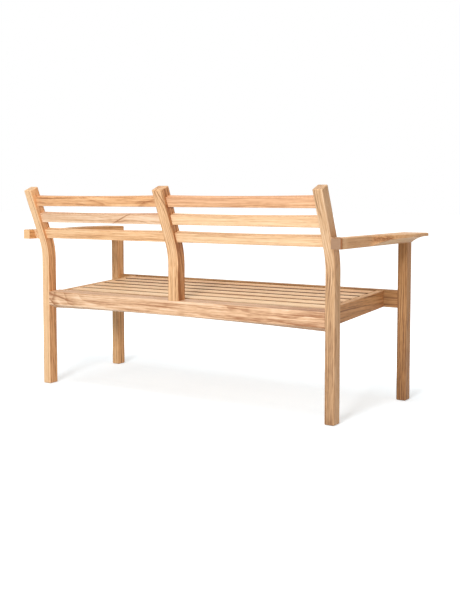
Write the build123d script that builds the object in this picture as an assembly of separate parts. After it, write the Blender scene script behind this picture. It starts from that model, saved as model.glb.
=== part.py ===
from build123d import *
import os
from math import cos, radians, sin, tan

os.makedirs("parts", exist_ok=True)

# Driving dimensions in mm. X runs along the sofa, the front faces -Y and Z is up from the floor.
# Depths are measured forward from the back faces of the rear posts.
REAR_SPAN = 1246.0  # over the outer faces of the rear posts
FRONT_SPAN = 1339.0  # over the outer faces of the front legs
OVER_ARMS = 1474.0  # over the tips of the armrests
FRONT_DEPTH = 499.0  # back faces of the rear posts to the front faces of the front legs
POST_WIDTH = 34.0
POST_DEPTH = 41.0
CENTRE_POST_WIDTH = 44.0
LEG_WIDTH = 34.5  # of the front legs
LEG_DEPTH = 41.0
POST_TOP = 738.0  # rear edge of the post tops
RAKE = 22.2  # degrees that the back leans
BEND_START = 479.0  # height where the posts begin to bend
BEND_RADIUS = 200.0  # inside radius of the bend, on the back faces

# Seat frame.
SEAT_REAR = 356.0  # height of the seat's rear edge
SEAT_SLOPE = 3.34  # degrees that the seat falls to the rear
SIDE_RAIL_HEIGHT = 59.0
SIDE_RAIL_THICK = 27.0
SIDE_RAIL_INSET = 12.0  # side rails stand inside the rear posts by this much
REAR_RAIL_DEPTH = 60.0
REAR_RAIL_HEIGHT = 64.0  # back edge of the seat to the underside at the ends
REAR_RAIL_ARCH = 11.0  # rise of the underside at mid-span
ARCH_LAND = 12.0  # flat underside left beside each post
BEVEL_DEPTH = 26.0  # bevel under the rear rail's back face
BEVEL_HEIGHT = 14.7
FRONT_RAIL_THICK = 26.0
FRONT_RAIL_HEIGHT = 62.0
FRONT_RAIL_PROUD = 3.5  # how far the front rail stands above the side rails
CLEAT_SIDE = 20.0
BEARER_WIDTH = 36.0
BEARER_HEIGHT = 36.0

# Seat and back slats.
SEAT_SLATS = 6
SEAT_SLAT_GAP = 16.0
SEAT_SLAT_THICK = 20.0
SEAT_SLAT_END_GAP = 0.5
BACK_SLATS = 3  # in each bay
BACK_SLAT_HEIGHT = 36.0
BACK_SLAT_THICK = 22.0  # at the ends
BACK_SLAT_PITCH = 65.6
BACK_SLAT_MARGIN = 31.0  # post top to the first slat, along the rake
BACK_SLAT_RECESS = 11.0  # slat ends behind the back faces of the posts
BACK_SLAT_HOLLOW = 7.0  # how far the front face is hollowed at mid-span

# Armrests.
ARM_TOP = 592.0
ARM_THICK = 35.0
ARM_REAR_REACH = 52.0  # how far they run out behind the posts
FLARE_START = 146.0  # depth where the outer edge begins to flare
FLARE_TURN = 186.0  # depth where the flare turns from hollow to round
FLARE_END = 400.0  # depth where the wing is at its widest
WING_EDGE = 11.0  # thickness of the wing's edge
COVE_WIDTH = 66.5  # of the cove under the wing, from the bar's lower edge to where it is level
ARM_TIP_RADIUS = 20.0
ARM_REAR_RADIUS = 8.0
ARM_EASE = 4.0

# Rounding.
EASE = 3.0  # along legs and posts
SOFT = 3.0  # along rails
SLAT_SOFT = 2.0  # along seat slats
ARRIS = 1.5  # chamfer along the back slats
END_CHAMFER = 2.0  # round the feet and the post tops

# Joinery and fasteners.
TENON_FIT = 0.1  # play round each tenon
TENON_DEEP = 1.0  # play beyond its end
TENON_SHOULDER = 8.0  # least shoulder beside a tenon
TENON_LENGTH = 22.0  # rails into posts, legs and the rear rail
COVER = 11.0  # wood left over a blind mortise
FOOT_TENON = 30.0  # length of the centre post's tenon
SLAT_TENON_LENGTH = 15.0
SLAT_TENON_THICK = 10.0
SLAT_TENON_HEIGHT = 21.0
LOOSE_TENON_DEPTH = 12.0  # into the post and into the armrest
LOOSE_TENON_THICK = 12.0
LOOSE_TENON_HEIGHT = 20.0
GLIDE_PROUD = 1.5
GLIDE_DIAMETER = 22.0
SCREW_SHANK = 4.0
SCREW_HEAD = 8.0
SCREW_HEAD_HEIGHT = 3.0
SCREW_GRIP = 12.0  # how far the screws run into the far piece
SCREW_SIDES = 8  # the round screws, their holes and the round glides are drawn with flat sides
GLIDE_SIDES = 12

# Places worked out from the driving dimensions.
rake_sin = sin(radians(RAKE))
rake_cos = cos(radians(RAKE))
slope_tan = tan(radians(SEAT_SLOPE))
slope_cos = cos(radians(SEAT_SLOPE))
bend_corner = BEND_START + BEND_RADIUS * tan(radians(RAKE / 2))
raked_length = (POST_TOP - bend_corner) / rake_cos
rear_reach = (raked_length - END_CHAMFER) * rake_sin
y_back = (FRONT_DEPTH - rear_reach) / 2
post_outer = REAR_SPAN / 2
post_inner = post_outer - POST_WIDTH
leg_outer = FRONT_SPAN / 2
leg_inner = leg_outer - LEG_WIDTH
side_outer = post_inner - SIDE_RAIL_INSET
side_inner = side_outer - SIDE_RAIL_THICK
front_rail_back = FRONT_DEPTH - FRONT_RAIL_THICK
arm_low = ARM_TOP - ARM_THICK
arm_tip = OVER_ARMS / 2
seat_frame = Pos(0, y_back, SEAT_REAR) * Rot(X=-SEAT_SLOPE)
back_frame = Pos(0, y_back, bend_corner) * Rot(X=-RAKE)


def seat_height(depth, below=0.0):
    """Height of the seat's surface at a depth, or of a level measured square below it."""
    return SEAT_REAR + depth * slope_tan - below / slope_cos


def inside(low, high, margin=TENON_SHOULDER):
    """The span between two values, less a margin at each end."""
    return (low + margin, high - margin)


def block(x, depth, z):
    """Box between two values along X, two depths and two heights."""
    size = (x[1] - x[0], depth[1] - depth[0], z[1] - z[0])
    return Pos(sum(x) / 2, y_back - sum(depth) / 2, sum(z) / 2) * Box(*size)


def mortise(tenon, along):
    """Mortise for a tenon's spans, with side play, and end play along the given span."""
    plays = [TENON_DEEP if i == along else TENON_FIT for i in range(3)]
    return block(*[(low - play, high + play) for (low, high), play in zip(tenon, plays)])


def opposite(tenon):
    """The spans of the same tenon at the other end of the sofa."""
    return ((-tenon[0][1], -tenon[0][0]), tenon[1], tenon[2])


def mirrored(shape):
    """The same piece at the other end of the sofa."""
    return mirror(shape, about=Plane.YZ)


def bar(points, x, radius=0.0):
    """Bar along X between two values, its section given as (depth, height) points and eased."""
    face = make_face(Polyline(*[(y_back - d, z) for d, z in points], close=True))
    if radius:
        face = fillet(face.vertices(), radius)
    return Pos(x[0], 0, 0) * extrude(Plane.YZ * face, x[1] - x[0], dir=(1, 0, 0))


def sloped_bar(x, depth, below):
    """Bar along the seat's slope, between two depths and two levels below the seat, with upright ends."""
    near, far = depth
    points = [(near, seat_height(near, below[1])), (near, seat_height(near, below[0]))]
    points += [(far, seat_height(far, below[0])), (far, seat_height(far, below[1]))]
    return bar(points, x)


# Tenons, each as its spans along X, depth and height.
X_WAY, DEPTH_WAY, UP_WAY = range(3)
front_rail_top = seat_height(front_rail_back) + FRONT_RAIL_PROUD
front_rail_low = front_rail_top - FRONT_RAIL_HEIGHT
rear_rail_low = SEAT_REAR - REAR_RAIL_HEIGHT
bevel_top = rear_rail_low + BEVEL_HEIGHT
rear_rail_tenon = (
    (post_inner, post_inner + TENON_LENGTH),
    inside(0, POST_DEPTH),
    inside(bevel_top, SEAT_REAR),
)
front_rail_tenon = (
    (leg_inner, leg_inner + TENON_LENGTH),
    inside(front_rail_back, FRONT_DEPTH),
    inside(front_rail_low, front_rail_top),
)
leg_tenon = (
    inside(leg_inner, leg_outer),
    inside(FRONT_DEPTH - LEG_DEPTH, FRONT_DEPTH),
    (arm_low, ARM_TOP - COVER - TENON_DEEP),
)
centre_post_tenon = (
    inside(-CENTRE_POST_WIDTH / 2, CENTRE_POST_WIDTH / 2),
    inside(0, POST_DEPTH),
    (SEAT_REAR - FOOT_TENON, seat_height(POST_DEPTH)),
)


def rear_end_tenon(x, below):
    """Tenon of a sloped bar into the rear rail."""
    ends = seat_height(REAR_RAIL_DEPTH, below[1]), seat_height(REAR_RAIL_DEPTH, below[0])
    return (inside(*x), (REAR_RAIL_DEPTH - TENON_LENGTH, REAR_RAIL_DEPTH), inside(*ends))


def front_end_tenon(x, below):
    """Tenon of a sloped bar into the front rail."""
    ends = seat_height(front_rail_back, below[1]), seat_height(front_rail_back, below[0])
    return (inside(*x), (front_rail_back, FRONT_DEPTH - COVER - TENON_DEEP), inside(*ends))


side_x = (side_inner, side_outer)
side_below = (0.0, SIDE_RAIL_HEIGHT)
bearer_x = (-BEARER_WIDTH / 2, BEARER_WIDTH / 2)
bearer_below = (SEAT_SLAT_THICK, SEAT_SLAT_THICK + BEARER_HEIGHT)
side_tenons = (rear_end_tenon(side_x, side_below), front_end_tenon(side_x, side_below))
bearer_tenons = (rear_end_tenon(bearer_x, bearer_below), front_end_tenon(bearer_x, bearer_below))

# Back slats: flat behind and hollowed in front for the sitter's back, with a tenon at each end.
bay_length = post_inner - CENTRE_POST_WIDTH / 2
bay_centre = (post_inner + CENTRE_POST_WIDTH / 2) / 2
first_rise = raked_length - BACK_SLAT_MARGIN - BACK_SLAT_HEIGHT / 2
slat_rises = [first_rise - BACK_SLAT_PITCH * i for i in range(BACK_SLATS)]
slat_middle = -BACK_SLAT_RECESS - BACK_SLAT_THICK / 2


def back_slat(rise, side):
    """Slat of one bay, at a distance along the rake."""
    half, rear = bay_length / 2, -BACK_SLAT_RECESS
    front = rear - BACK_SLAT_THICK
    outline = [
        ThreePointArc((half, front), (0, front + BACK_SLAT_HOLLOW), (-half, front)),
        Polyline((-half, front), (-half, rear), (half, rear), (half, front)),
    ]
    slat = extrude(make_face(outline), BACK_SLAT_HEIGHT / 2, both=True)
    slat = chamfer([e for e in slat.edges() if e.length > half], ARRIS)
    tenon = Box(SLAT_TENON_LENGTH, SLAT_TENON_THICK, SLAT_TENON_HEIGHT)
    reach = half + SLAT_TENON_LENGTH / 2
    slat += [Pos(end * reach, slat_middle, 0) * tenon for end in (1, -1)]
    return back_frame * Pos(side * bay_centre, 0, rise) * slat


def back_mortises(side):
    """Cutters for the mortises that one bay's slats need in the posts at its ends."""
    length = bay_length + 2 * (SLAT_TENON_LENGTH + TENON_DEEP)
    cutter = Box(length, SLAT_TENON_THICK + 2 * TENON_FIT, SLAT_TENON_HEIGHT + 2 * TENON_FIT)
    return [back_frame * Pos(side * bay_centre, slat_middle, rise) * cutter for rise in slat_rises]


# Loose tenon that holds each armrest to its post, through the spacer.
loose_rise = (ARM_TOP - ARM_THICK / 2 - bend_corner - POST_DEPTH / 2 * rake_sin) / rake_cos


def loose_tenon(side_play=0.0, end_play=0.0):
    """The loose tenon of the left arm, or a cutter for its mortises."""
    length = leg_inner - post_outer + 2 * (LOOSE_TENON_DEPTH + end_play)
    tenon = Box(length, LOOSE_TENON_THICK + 2 * side_play, LOOSE_TENON_HEIGHT + 2 * side_play)
    return back_frame * Pos((post_outer + leg_inner) / 2, -POST_DEPTH / 2, loose_rise) * tenon


left_loose_tenon = loose_tenon()
loose_mortise = loose_tenon(TENON_FIT, TENON_DEEP)


def on_bend(radius, angle):
    """Point of the post's bend, as (rearward, height), on an arc about the bend's centre."""
    return (BEND_RADIUS - radius * cos(radians(angle)), BEND_START + radius * sin(radians(angle)))


def post_blank(width, foot_rear, foot_front):
    """Bent post about X = 0: upright below, raked above and square at the top."""
    outside = BEND_RADIUS + POST_DEPTH
    top_rear = (raked_length * rake_sin, POST_TOP)
    top_front = (top_rear[0] - POST_DEPTH * rake_cos, POST_TOP + POST_DEPTH * rake_sin)
    rear_arc = [on_bend(BEND_RADIUS, angle) for angle in (0, RAKE / 2, RAKE)]
    front_arc = [on_bend(outside, angle) for angle in (RAKE, RAKE / 2, 0)]
    outline = [
        Line((0, foot_rear), rear_arc[0]),
        ThreePointArc(*rear_arc),
        Polyline(rear_arc[-1], top_rear, top_front, front_arc[0]),
        ThreePointArc(*front_arc),
        Polyline(front_arc[-1], (-POST_DEPTH, foot_front), (0, foot_rear)),
    ]
    return extrude(Plane.YZ * (Pos(y_back, 0) * make_face(outline)), width / 2, both=True)


def eased_post(width, foot_rear, foot_front):
    """Post with its long edges rounded and its top chamfered."""
    blank = post_blank(width, foot_rear, foot_front)
    foot, *_, top = blank.faces().sort_by(Axis.Z)
    long_edges = blank.edges().filter_by(Axis.X, reverse=True) - foot.edges() - top.edges()
    post = fillet(long_edges, EASE)
    top = max(post.faces().filter_by(GeomType.PLANE), key=lambda face: face.center().Z)
    return chamfer(top.edges(), END_CHAMFER)


def foot_chamfered(leg):
    """Leg with a small chamfer round its foot."""
    return chamfer(leg.faces().sort_by(Axis.Z)[0].edges(), END_CHAMFER)


# Foot glides: a disc under each leg.
post_foot = (post_inner + POST_WIDTH / 2, POST_DEPTH / 2)
leg_foot = (leg_inner + LEG_WIDTH / 2, FRONT_DEPTH - LEG_DEPTH / 2)


def glide(x, depth):
    """Foot glide under the leg at a place."""
    return Pos(x, y_back - depth, 0) * extrude(RegularPolygon(GLIDE_DIAMETER / 2, GLIDE_SIDES), GLIDE_PROUD)


# Posts and legs.
left_post = Pos(post_foot[0], 0, 0) * eased_post(POST_WIDTH, GLIDE_PROUD, GLIDE_PROUD)
left_post = foot_chamfered(left_post) - back_mortises(1)
left_post -= [mortise(rear_rail_tenon, X_WAY), loose_mortise]
centre_post = eased_post(CENTRE_POST_WIDTH, SEAT_REAR, seat_height(POST_DEPTH))
centre_post += block(*centre_post_tenon)
centre_post -= back_mortises(1) + back_mortises(-1)
left_leg = block((leg_inner, leg_outer), (FRONT_DEPTH - LEG_DEPTH, FRONT_DEPTH), (GLIDE_PROUD, arm_low))
left_leg = foot_chamfered(fillet(left_leg.edges().filter_by(Axis.Z), EASE)) + block(*leg_tenon)
left_leg -= mortise(front_rail_tenon, X_WAY)

# Rear rail: a bevelled section along X, over a shallow arch.
rear_section = [
    (0, bevel_top),
    (0, SEAT_REAR),
    (REAR_RAIL_DEPTH, seat_height(REAR_RAIL_DEPTH)),
    (REAR_RAIL_DEPTH, rear_rail_low),
    (BEVEL_DEPTH, rear_rail_low),
]
arch_half = post_inner - ARCH_LAND
arch_ends = ((-arch_half, rear_rail_low), (arch_half, rear_rail_low))
arch = [
    ThreePointArc(arch_ends[0], (0, rear_rail_low + REAR_RAIL_ARCH), arch_ends[1]),
    Line(arch_ends[1], arch_ends[0]),
]
rear_rail = bar(rear_section, (-post_inner, post_inner), SOFT)
rear_rail -= extrude(Plane.XZ * make_face(arch), FRONT_DEPTH, both=True)
rear_rail += [block(*rear_rail_tenon), block(*opposite(rear_rail_tenon))]
rear_mortises = [side_tenons[0], opposite(side_tenons[0]), bearer_tenons[0]]
rear_rail -= [mortise(tenon, DEPTH_WAY) for tenon in rear_mortises] + [mortise(centre_post_tenon, UP_WAY)]

# Front rail.
front_section = [
    (front_rail_back, front_rail_low),
    (front_rail_back, front_rail_top),
    (FRONT_DEPTH, front_rail_top),
    (FRONT_DEPTH, front_rail_low),
]
front_rail = bar(front_section, (-leg_inner, leg_inner), SOFT)
front_rail += [block(*front_rail_tenon), block(*opposite(front_rail_tenon))]
front_mortises = [side_tenons[1], opposite(side_tenons[1]), bearer_tenons[1]]
front_rail -= [mortise(tenon, DEPTH_WAY) for tenon in front_mortises]

# Side rails, cleats and the centre bearer, between the rear and front rails.
between = (REAR_RAIL_DEPTH, front_rail_back)
left_side = sloped_bar(side_x, between, side_below)
left_side = fillet([e for e in left_side.edges() if e.length > between[1] - between[0]], SOFT)
left_side += [block(*tenon) for tenon in side_tenons]
cleat_x = (side_inner - CLEAT_SIDE, side_inner)
left_cleat = sloped_bar(cleat_x, between, (SEAT_SLAT_THICK, SEAT_SLAT_THICK + CLEAT_SIDE))
bearer = sloped_bar(bearer_x, between, bearer_below)
bearer += [block(*tenon) for tenon in bearer_tenons]

# Screws: up through the cleats into each slat, and across through the cleats into the side rails.
screw_length = CLEAT_SIDE + SCREW_GRIP
slat_pitch = (front_rail_back - REAR_RAIL_DEPTH - SEAT_SLAT_GAP) / SEAT_SLATS
slat_width = slat_pitch - SEAT_SLAT_GAP
slat_depths = [REAR_RAIL_DEPTH + SEAT_SLAT_GAP + slat_width / 2 + slat_pitch * i for i in range(SEAT_SLATS)]
cleat_middle = side_inner - CLEAT_SIDE / 2


def on_seat(x, depth, below):
    """Place on the seat's slope, at a level below its surface."""
    return seat_frame * Pos(x, -depth / slope_cos, -below)


def screw():
    """Screw along +Z with the face under its head at the origin."""
    head = extrude(RegularPolygon(SCREW_HEAD / 2, SCREW_SIDES), -SCREW_HEAD_HEIGHT)
    return head + extrude(RegularPolygon(SCREW_SHANK / 2, SCREW_SIDES), screw_length)


screw_hole = extrude(RegularPolygon(SCREW_SHANK / 2 + TENON_FIT, SCREW_SIDES), screw_length + TENON_DEEP)
left_places = [on_seat(cleat_middle, depth, SEAT_SLAT_THICK + CLEAT_SIDE) for depth in slat_depths]
right_places = [on_seat(-cleat_middle, depth, SEAT_SLAT_THICK + CLEAT_SIDE) for depth in slat_depths]
cross_depths = [(slat_depths[i] + slat_depths[i + 1]) / 2 for i in (0, SEAT_SLATS - 2)]
cross_below = SEAT_SLAT_THICK + CLEAT_SIDE / 2
cross_places = [on_seat(cleat_x[0], depth, cross_below) * Rot(Y=90) for depth in cross_depths]
slat_screws = [place * screw() for place in left_places + right_places]
cleat_screws = [place * screw() for place in cross_places]
cross_holes = [place * screw_hole for place in cross_places]
left_side -= cross_holes
left_cleat -= [place * screw_hole for place in left_places] + cross_holes


def seat_slat(index):
    """One slat on the slope, flush with the side rails, with its long edges rounded and its screw holes."""
    slat = Box(2 * (side_inner - SEAT_SLAT_END_GAP), slat_width, SEAT_SLAT_THICK)
    slat = fillet(slat.edges().filter_by(Axis.X), SLAT_SOFT)
    slat = on_seat(0, slat_depths[index], SEAT_SLAT_THICK / 2) * slat
    return slat - [left_places[index] * screw_hole, right_places[index] * screw_hole]


def wing_plan():
    """Outline of the left armrest from above: a bar whose outer edge flares in an S of two tangent arcs."""
    rear, front = y_back + ARM_REAR_REACH, y_back - FRONT_DEPTH
    flare_start = Vector(leg_outer, y_back - FLARE_START)
    flare_end = Vector(arm_tip, y_back - FLARE_END)
    share = (FLARE_TURN - FLARE_START) / (FLARE_END - FLARE_START)
    flare_turn = flare_start + (flare_end - flare_start) * share
    outline = [
        Polyline((leg_inner, front), (leg_inner, rear), (leg_outer, rear), flare_start),
        TangentArc(flare_start, flare_turn, tangent=(0, -1)),
        TangentArc(flare_end, flare_turn, tangent=(0, 1)),
        Polyline(flare_end, (arm_tip, front), (leg_inner, front)),
    ]
    face = make_face(outline)
    tip = face.vertices().sort_by_distance((arm_tip, front))[0]
    face = fillet(tip, ARM_TIP_RADIUS)
    heel = face.vertices().sort_by_distance((leg_outer, rear))[0]
    return fillet(heel, ARM_REAR_RADIUS)


def cove():
    """Cutter for the cove under the left wing: it rises from the bar's lower edge to the wing's edge."""
    crown = ARM_TOP - WING_EDGE
    clear = (arm_tip + COVE_WIDTH, arm_low - ARM_THICK)
    level = (leg_outer + COVE_WIDTH, crown)
    outline = [
        TangentArc(level, (leg_outer, arm_low), tangent=(-1, 0)),
        Polyline((leg_outer, arm_low), (leg_outer, clear[1]), clear, (clear[0], crown), level),
    ]
    start = Plane((0, y_back - FLARE_START, 0), x_dir=(1, 0, 0), z_dir=(0, -1, 0))
    return extrude(start * make_face(outline), FRONT_DEPTH)


def armrest():
    """Left armrest: the bar and its wing, with the cove underneath and the top edges rounded."""
    arm = Pos(0, 0, arm_low) * extrude(wing_plan(), ARM_THICK) - cove()
    arm = fillet(arm.faces().sort_by(Axis.Z)[-1].edges(), ARM_EASE)
    return arm - [mortise(leg_tenon, UP_WAY), loose_mortise]


left_arm = armrest()

# Spacers between posts and armrests, cut to the posts' rake.
left_spacer = Pos((post_outer + leg_inner) / 2, 0, 0) * post_blank(leg_inner - post_outer, 0, 0)
left_spacer &= block((0, arm_tip), (-POST_TOP, POST_TOP), (arm_low, ARM_TOP))
left_spacer -= loose_mortise

nodes = {
    "centre_back_post": centre_post,
    "rear_seat_rail": rear_rail,
    "front_seat_rail": front_rail,
    "centre_bearer": bearer,
    "arm_tenons": Compound([left_loose_tenon, mirrored(left_loose_tenon)]),
    "slat_screws": Compound(slat_screws),
    "cleat_screws": Compound(cleat_screws + [mirrored(piece) for piece in cleat_screws]),
    "foot_glides": Compound([glide(end * x, d) for x, d in (post_foot, leg_foot) for end in (1, -1)]),
}
left_pieces = {
    "back_post": left_post,
    "front_leg": left_leg,
    "side_rail": left_side,
    "slat_cleat": left_cleat,
    "armrest": left_arm,
    "arm_spacer": left_spacer,
}
for name, piece in left_pieces.items():
    nodes[f"left_{name}"] = piece
    nodes[f"right_{name}"] = mirrored(piece)
for index in range(SEAT_SLATS):
    nodes[f"seat_slat_{index + 1}"] = seat_slat(index)
for index, rise in enumerate(slat_rises):
    nodes[f"left_back_slat_{index + 1}"] = back_slat(rise, 1)
    nodes[f"right_back_slat_{index + 1}"] = back_slat(rise, -1)

for name, shape in nodes.items():
    export_step(shape, f"parts/{name}.step")
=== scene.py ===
"""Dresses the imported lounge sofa: sanded teak, stainless screws and moulded glides, in a white studio."""

import logging
import math
from collections.abc import Callable, Iterable, Mapping
from dataclasses import dataclass, field
from enum import Enum
from typing import Any

import bmesh
import bpy
from mathutils import Euler, Matrix, Vector


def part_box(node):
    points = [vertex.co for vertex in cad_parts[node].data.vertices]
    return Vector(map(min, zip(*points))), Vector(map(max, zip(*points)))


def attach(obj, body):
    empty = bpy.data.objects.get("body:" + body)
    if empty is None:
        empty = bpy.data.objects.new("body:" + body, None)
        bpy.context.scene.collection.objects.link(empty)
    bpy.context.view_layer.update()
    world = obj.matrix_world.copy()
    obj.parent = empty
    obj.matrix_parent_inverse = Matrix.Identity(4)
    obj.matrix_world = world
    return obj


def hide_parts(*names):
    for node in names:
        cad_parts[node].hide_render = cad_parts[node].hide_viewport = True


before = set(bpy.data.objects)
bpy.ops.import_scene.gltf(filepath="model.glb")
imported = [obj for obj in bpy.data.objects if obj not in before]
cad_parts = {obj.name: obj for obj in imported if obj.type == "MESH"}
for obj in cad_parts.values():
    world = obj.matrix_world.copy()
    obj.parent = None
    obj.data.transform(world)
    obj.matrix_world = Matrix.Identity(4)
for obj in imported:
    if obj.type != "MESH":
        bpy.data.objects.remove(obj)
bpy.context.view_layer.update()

LOG = logging.getLogger("sofa")
NOISE_MEAN = 0.5
Pair = tuple[float, float]
Triple = tuple[float, float, float]
Colour = tuple[float, float, float, float]


def srgb(red: int, green: int, blue: int) -> Colour:
    """Linear colour of three 8-bit display values.

    Args:
        red: Red value, 0 to 255.
        green: Green value, 0 to 255.
        blue: Blue value, 0 to 255.

    Returns:
        The colour as a node socket takes it, with an alpha of 1.
    """
    shares = [value / 255 for value in (red, green, blue)]
    linear = [s / 12.92 if s <= 0.04045 else ((s + 0.055) / 1.055) ** 2.4 for s in shares]
    return (*linear, 1.0)


class Value:
    """A node's output socket, as a term in shader expressions."""

    def __init__(self, graph: "Graph", socket: bpy.types.NodeSocket | None) -> None:
        """Wraps a socket of the graph that it belongs to."""
        self.graph = graph
        self.socket = socket

    def __add__(self, other: "Value | float") -> "Value":
        """Sum of two values."""
        return self.graph.math("ADD", self, other)

    def __sub__(self, other: "Value | float") -> "Value":
        """Difference of two values."""
        return self.graph.math("SUBTRACT", self, other)

    def __rsub__(self, other: float) -> "Value":
        """A number less this value."""
        return self.graph.math("SUBTRACT", other, self)

    def __mul__(self, other: "Value | float") -> "Value":
        """Product of two values."""
        return self.graph.math("MULTIPLY", self, other)

    def __truediv__(self, other: "Value | float") -> "Value":
        """Quotient of two values."""
        return self.graph.math("DIVIDE", self, other)

    def __rtruediv__(self, other: float) -> "Value":
        """A number over this value."""
        return self.graph.math("DIVIDE", other, self)

    def __pow__(self, other: "Value | float") -> "Value":
        """Power of this value."""
        return self.graph.math("POWER", self, other)

    def __neg__(self) -> "Value":
        """This value with its sign turned."""
        return self.graph.math("MULTIPLY", self, -1.0)

    def __abs__(self) -> "Value":
        """This value without its sign."""
        return self.graph.math("ABSOLUTE", self)

    __radd__ = __add__
    __rmul__ = __mul__

    def other(self, output: str) -> "Value":
        """Another output of the same node."""
        return Value(self.graph, self.socket.node.outputs[output])

    def fade(self) -> "Value":
        """1 where this value is 0, falling away as it grows."""
        return self.graph.math("EXPONENT", -self)

    def rise(self, low: float, high: float) -> "Value":
        """Smooth step from 0 at one value to 1 at another.

        Args:
            low: Value at which the step begins.
            high: Value at which it ends.

        Returns:
            The step, between 0 and 1.
        """
        limits = {"Value": self, "From Min": low, "From Max": high}
        return self.graph.add("ShaderNodeMapRange", {"interpolation_type": "SMOOTHSTEP"}, limits)


class Graph:
    """Node tree of a material or a world, written through expressions."""

    def __init__(self, tree: bpy.types.NodeTree) -> None:
        """Empties a tree and takes it over."""
        tree.nodes.clear()
        self.tree = tree

    def add(
        self,
        kind: str,
        settings: Mapping[str, Any] | None = None,
        inputs: Mapping[str | int, Any] | None = None,
        output: str | int = 0,
    ) -> Value:
        """Adds any node.

        Args:
            kind: The node's type.
            settings: Its properties, and a ramp's stops under "stops", which are set first.
            inputs: Values or links of its sockets, by name or number.
            output: The output that is wanted.

        Returns:
            That output, or an empty value where the node has none.
        """
        node = self.tree.nodes.new(kind)
        for name, setting in (settings or {}).items():
            if name == "stops":
                self._set_stops(node.color_ramp, setting)
            else:
                setattr(node, name, setting)
        for name, value in (inputs or {}).items():
            if isinstance(value, Value):
                self.tree.links.new(value.socket, node.inputs[name])
            else:
                node.inputs[name].default_value = value
        return Value(self, node.outputs[output] if node.outputs else None)

    @staticmethod
    def _set_stops(ramp: bpy.types.ColorRamp, stops: Iterable[tuple[float, Colour]]) -> None:
        """Gives a colour ramp its stops.

        Args:
            ramp: The ramp.
            stops: Places from 0 to 1 and their colours, in rising order.
        """
        for index, (place, colour) in enumerate(stops):
            ready = index < len(ramp.elements)
            stop = ramp.elements[index] if ready else ramp.elements.new(place)
            stop.position = place
            stop.color = colour

    def math(self, operation: str, first: Value | float, second: Value | float = 0.0) -> Value:
        """Math node of one or two values."""
        return self.add("ShaderNodeMath", {"operation": operation}, {0: first, 1: second})

    def vector(self, operation: str, *terms: Value | Triple | Vector, output: str = "Vector") -> Value:
        """Vector Math node of its terms, in order."""
        return self.add("ShaderNodeVectorMath", {"operation": operation}, dict(enumerate(terms)), output)

    def axes(self, place: Value) -> tuple[Value, Value, Value]:
        """The three coordinates of a place, one by one."""
        along = self.add("ShaderNodeSeparateXYZ", {}, {"Vector": place})
        return along, along.other("Y"), along.other("Z")

    def mix(
        self, share: Value | float, first: Value | Colour, second: Value | Colour, blend: str = "MIX"
    ) -> Value:
        """Colour between two colours.

        Args:
            share: Share of the second colour.
            first: The first colour.
            second: The second colour, or what the first is multiplied by.
            blend: How the second colour goes on the first.

        Returns:
            The mixed colour.
        """
        settings = {"data_type": "RGBA", "blend_type": blend}
        return self.add("ShaderNodeMix", settings, {0: share, 6: first, 7: second}, output=2)

    def stretched(self, place: Value, scale: Triple, shift: float = 0.0) -> Value:
        """Coordinates of a stretched pattern.

        Args:
            place: The coordinates.
            scale: How often the pattern repeats per metre each way.
            shift: Distance in the pattern that sets it apart from others.

        Returns:
            The coordinates in the pattern.
        """
        return self.vector("MULTIPLY_ADD", place, scale, (shift, -shift, shift))

    def noise(self, place: Value, detail: float) -> Value:
        """Noise about 0 at coordinates in its own scale."""
        inputs = {"Vector": place, "Scale": 1.0, "Detail": detail}
        return self.add("ShaderNodeTexNoise", {}, inputs) - NOISE_MEAN

    def noise_along(self, place: Value, detail: float = 2.0) -> Value:
        """Noise about 0 along one value, in its own scale."""
        inputs = {"W": place, "Scale": 1.0, "Detail": detail}
        return self.add("ShaderNodeTexNoise", {"noise_dimensions": "1D"}, inputs) - NOISE_MEAN

    def shown(self) -> Value:
        """1 for rays that see or reflect the studio, and 0 for those that light the sofa."""
        seen = self.add("ShaderNodeLightPath", output="Is Camera Ray")
        seen = seen + seen.other("Is Glossy Ray") + seen.other("Is Transmission Ray")
        return seen.rise(0.0, 1.0)


def new_material(name: str) -> tuple[bpy.types.Material, Graph]:
    """A new material and its empty graph."""
    made = bpy.data.materials.new(name)
    made.use_nodes = True
    return made, Graph(made.node_tree)


@dataclass(frozen=True)
class Pattern:
    """A stretched noise about 0.

    Attributes:
        scale: How often it repeats per metre each way.
        shift: Distance in the noise that sets it apart from the other patterns.
        detail: Finer noise within it.
        weight: How much it counts.
    """

    scale: Triple
    shift: float = 0.0
    detail: float = 2.0
    weight: float = 1.0

    def noise(self, graph: Graph, place: Value, seed: float = 0.0) -> Value:
        """The pattern at a place, before its weight.

        Args:
            graph: The material's graph.
            place: The coordinates.
            seed: A board's own share of the shift.

        Returns:
            The noise.
        """
        return graph.noise(graph.stretched(place, self.scale, seed + self.shift), self.detail)


class Grain(Enum):
    """Which way a board's grain runs, as the turn of its own frame, whose X is the grain."""

    ALONG_X = (0.0, 0.0, 0.0)
    ALONG_Y = (0.0, 0.0, math.pi / 2)
    UPRIGHT = (0.0, -math.pi / 2, 0.0)

    @property
    def way(self) -> Vector:
        """Direction of the grain."""
        return Euler(self.value).to_matrix() @ Vector((1, 0, 0))


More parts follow.
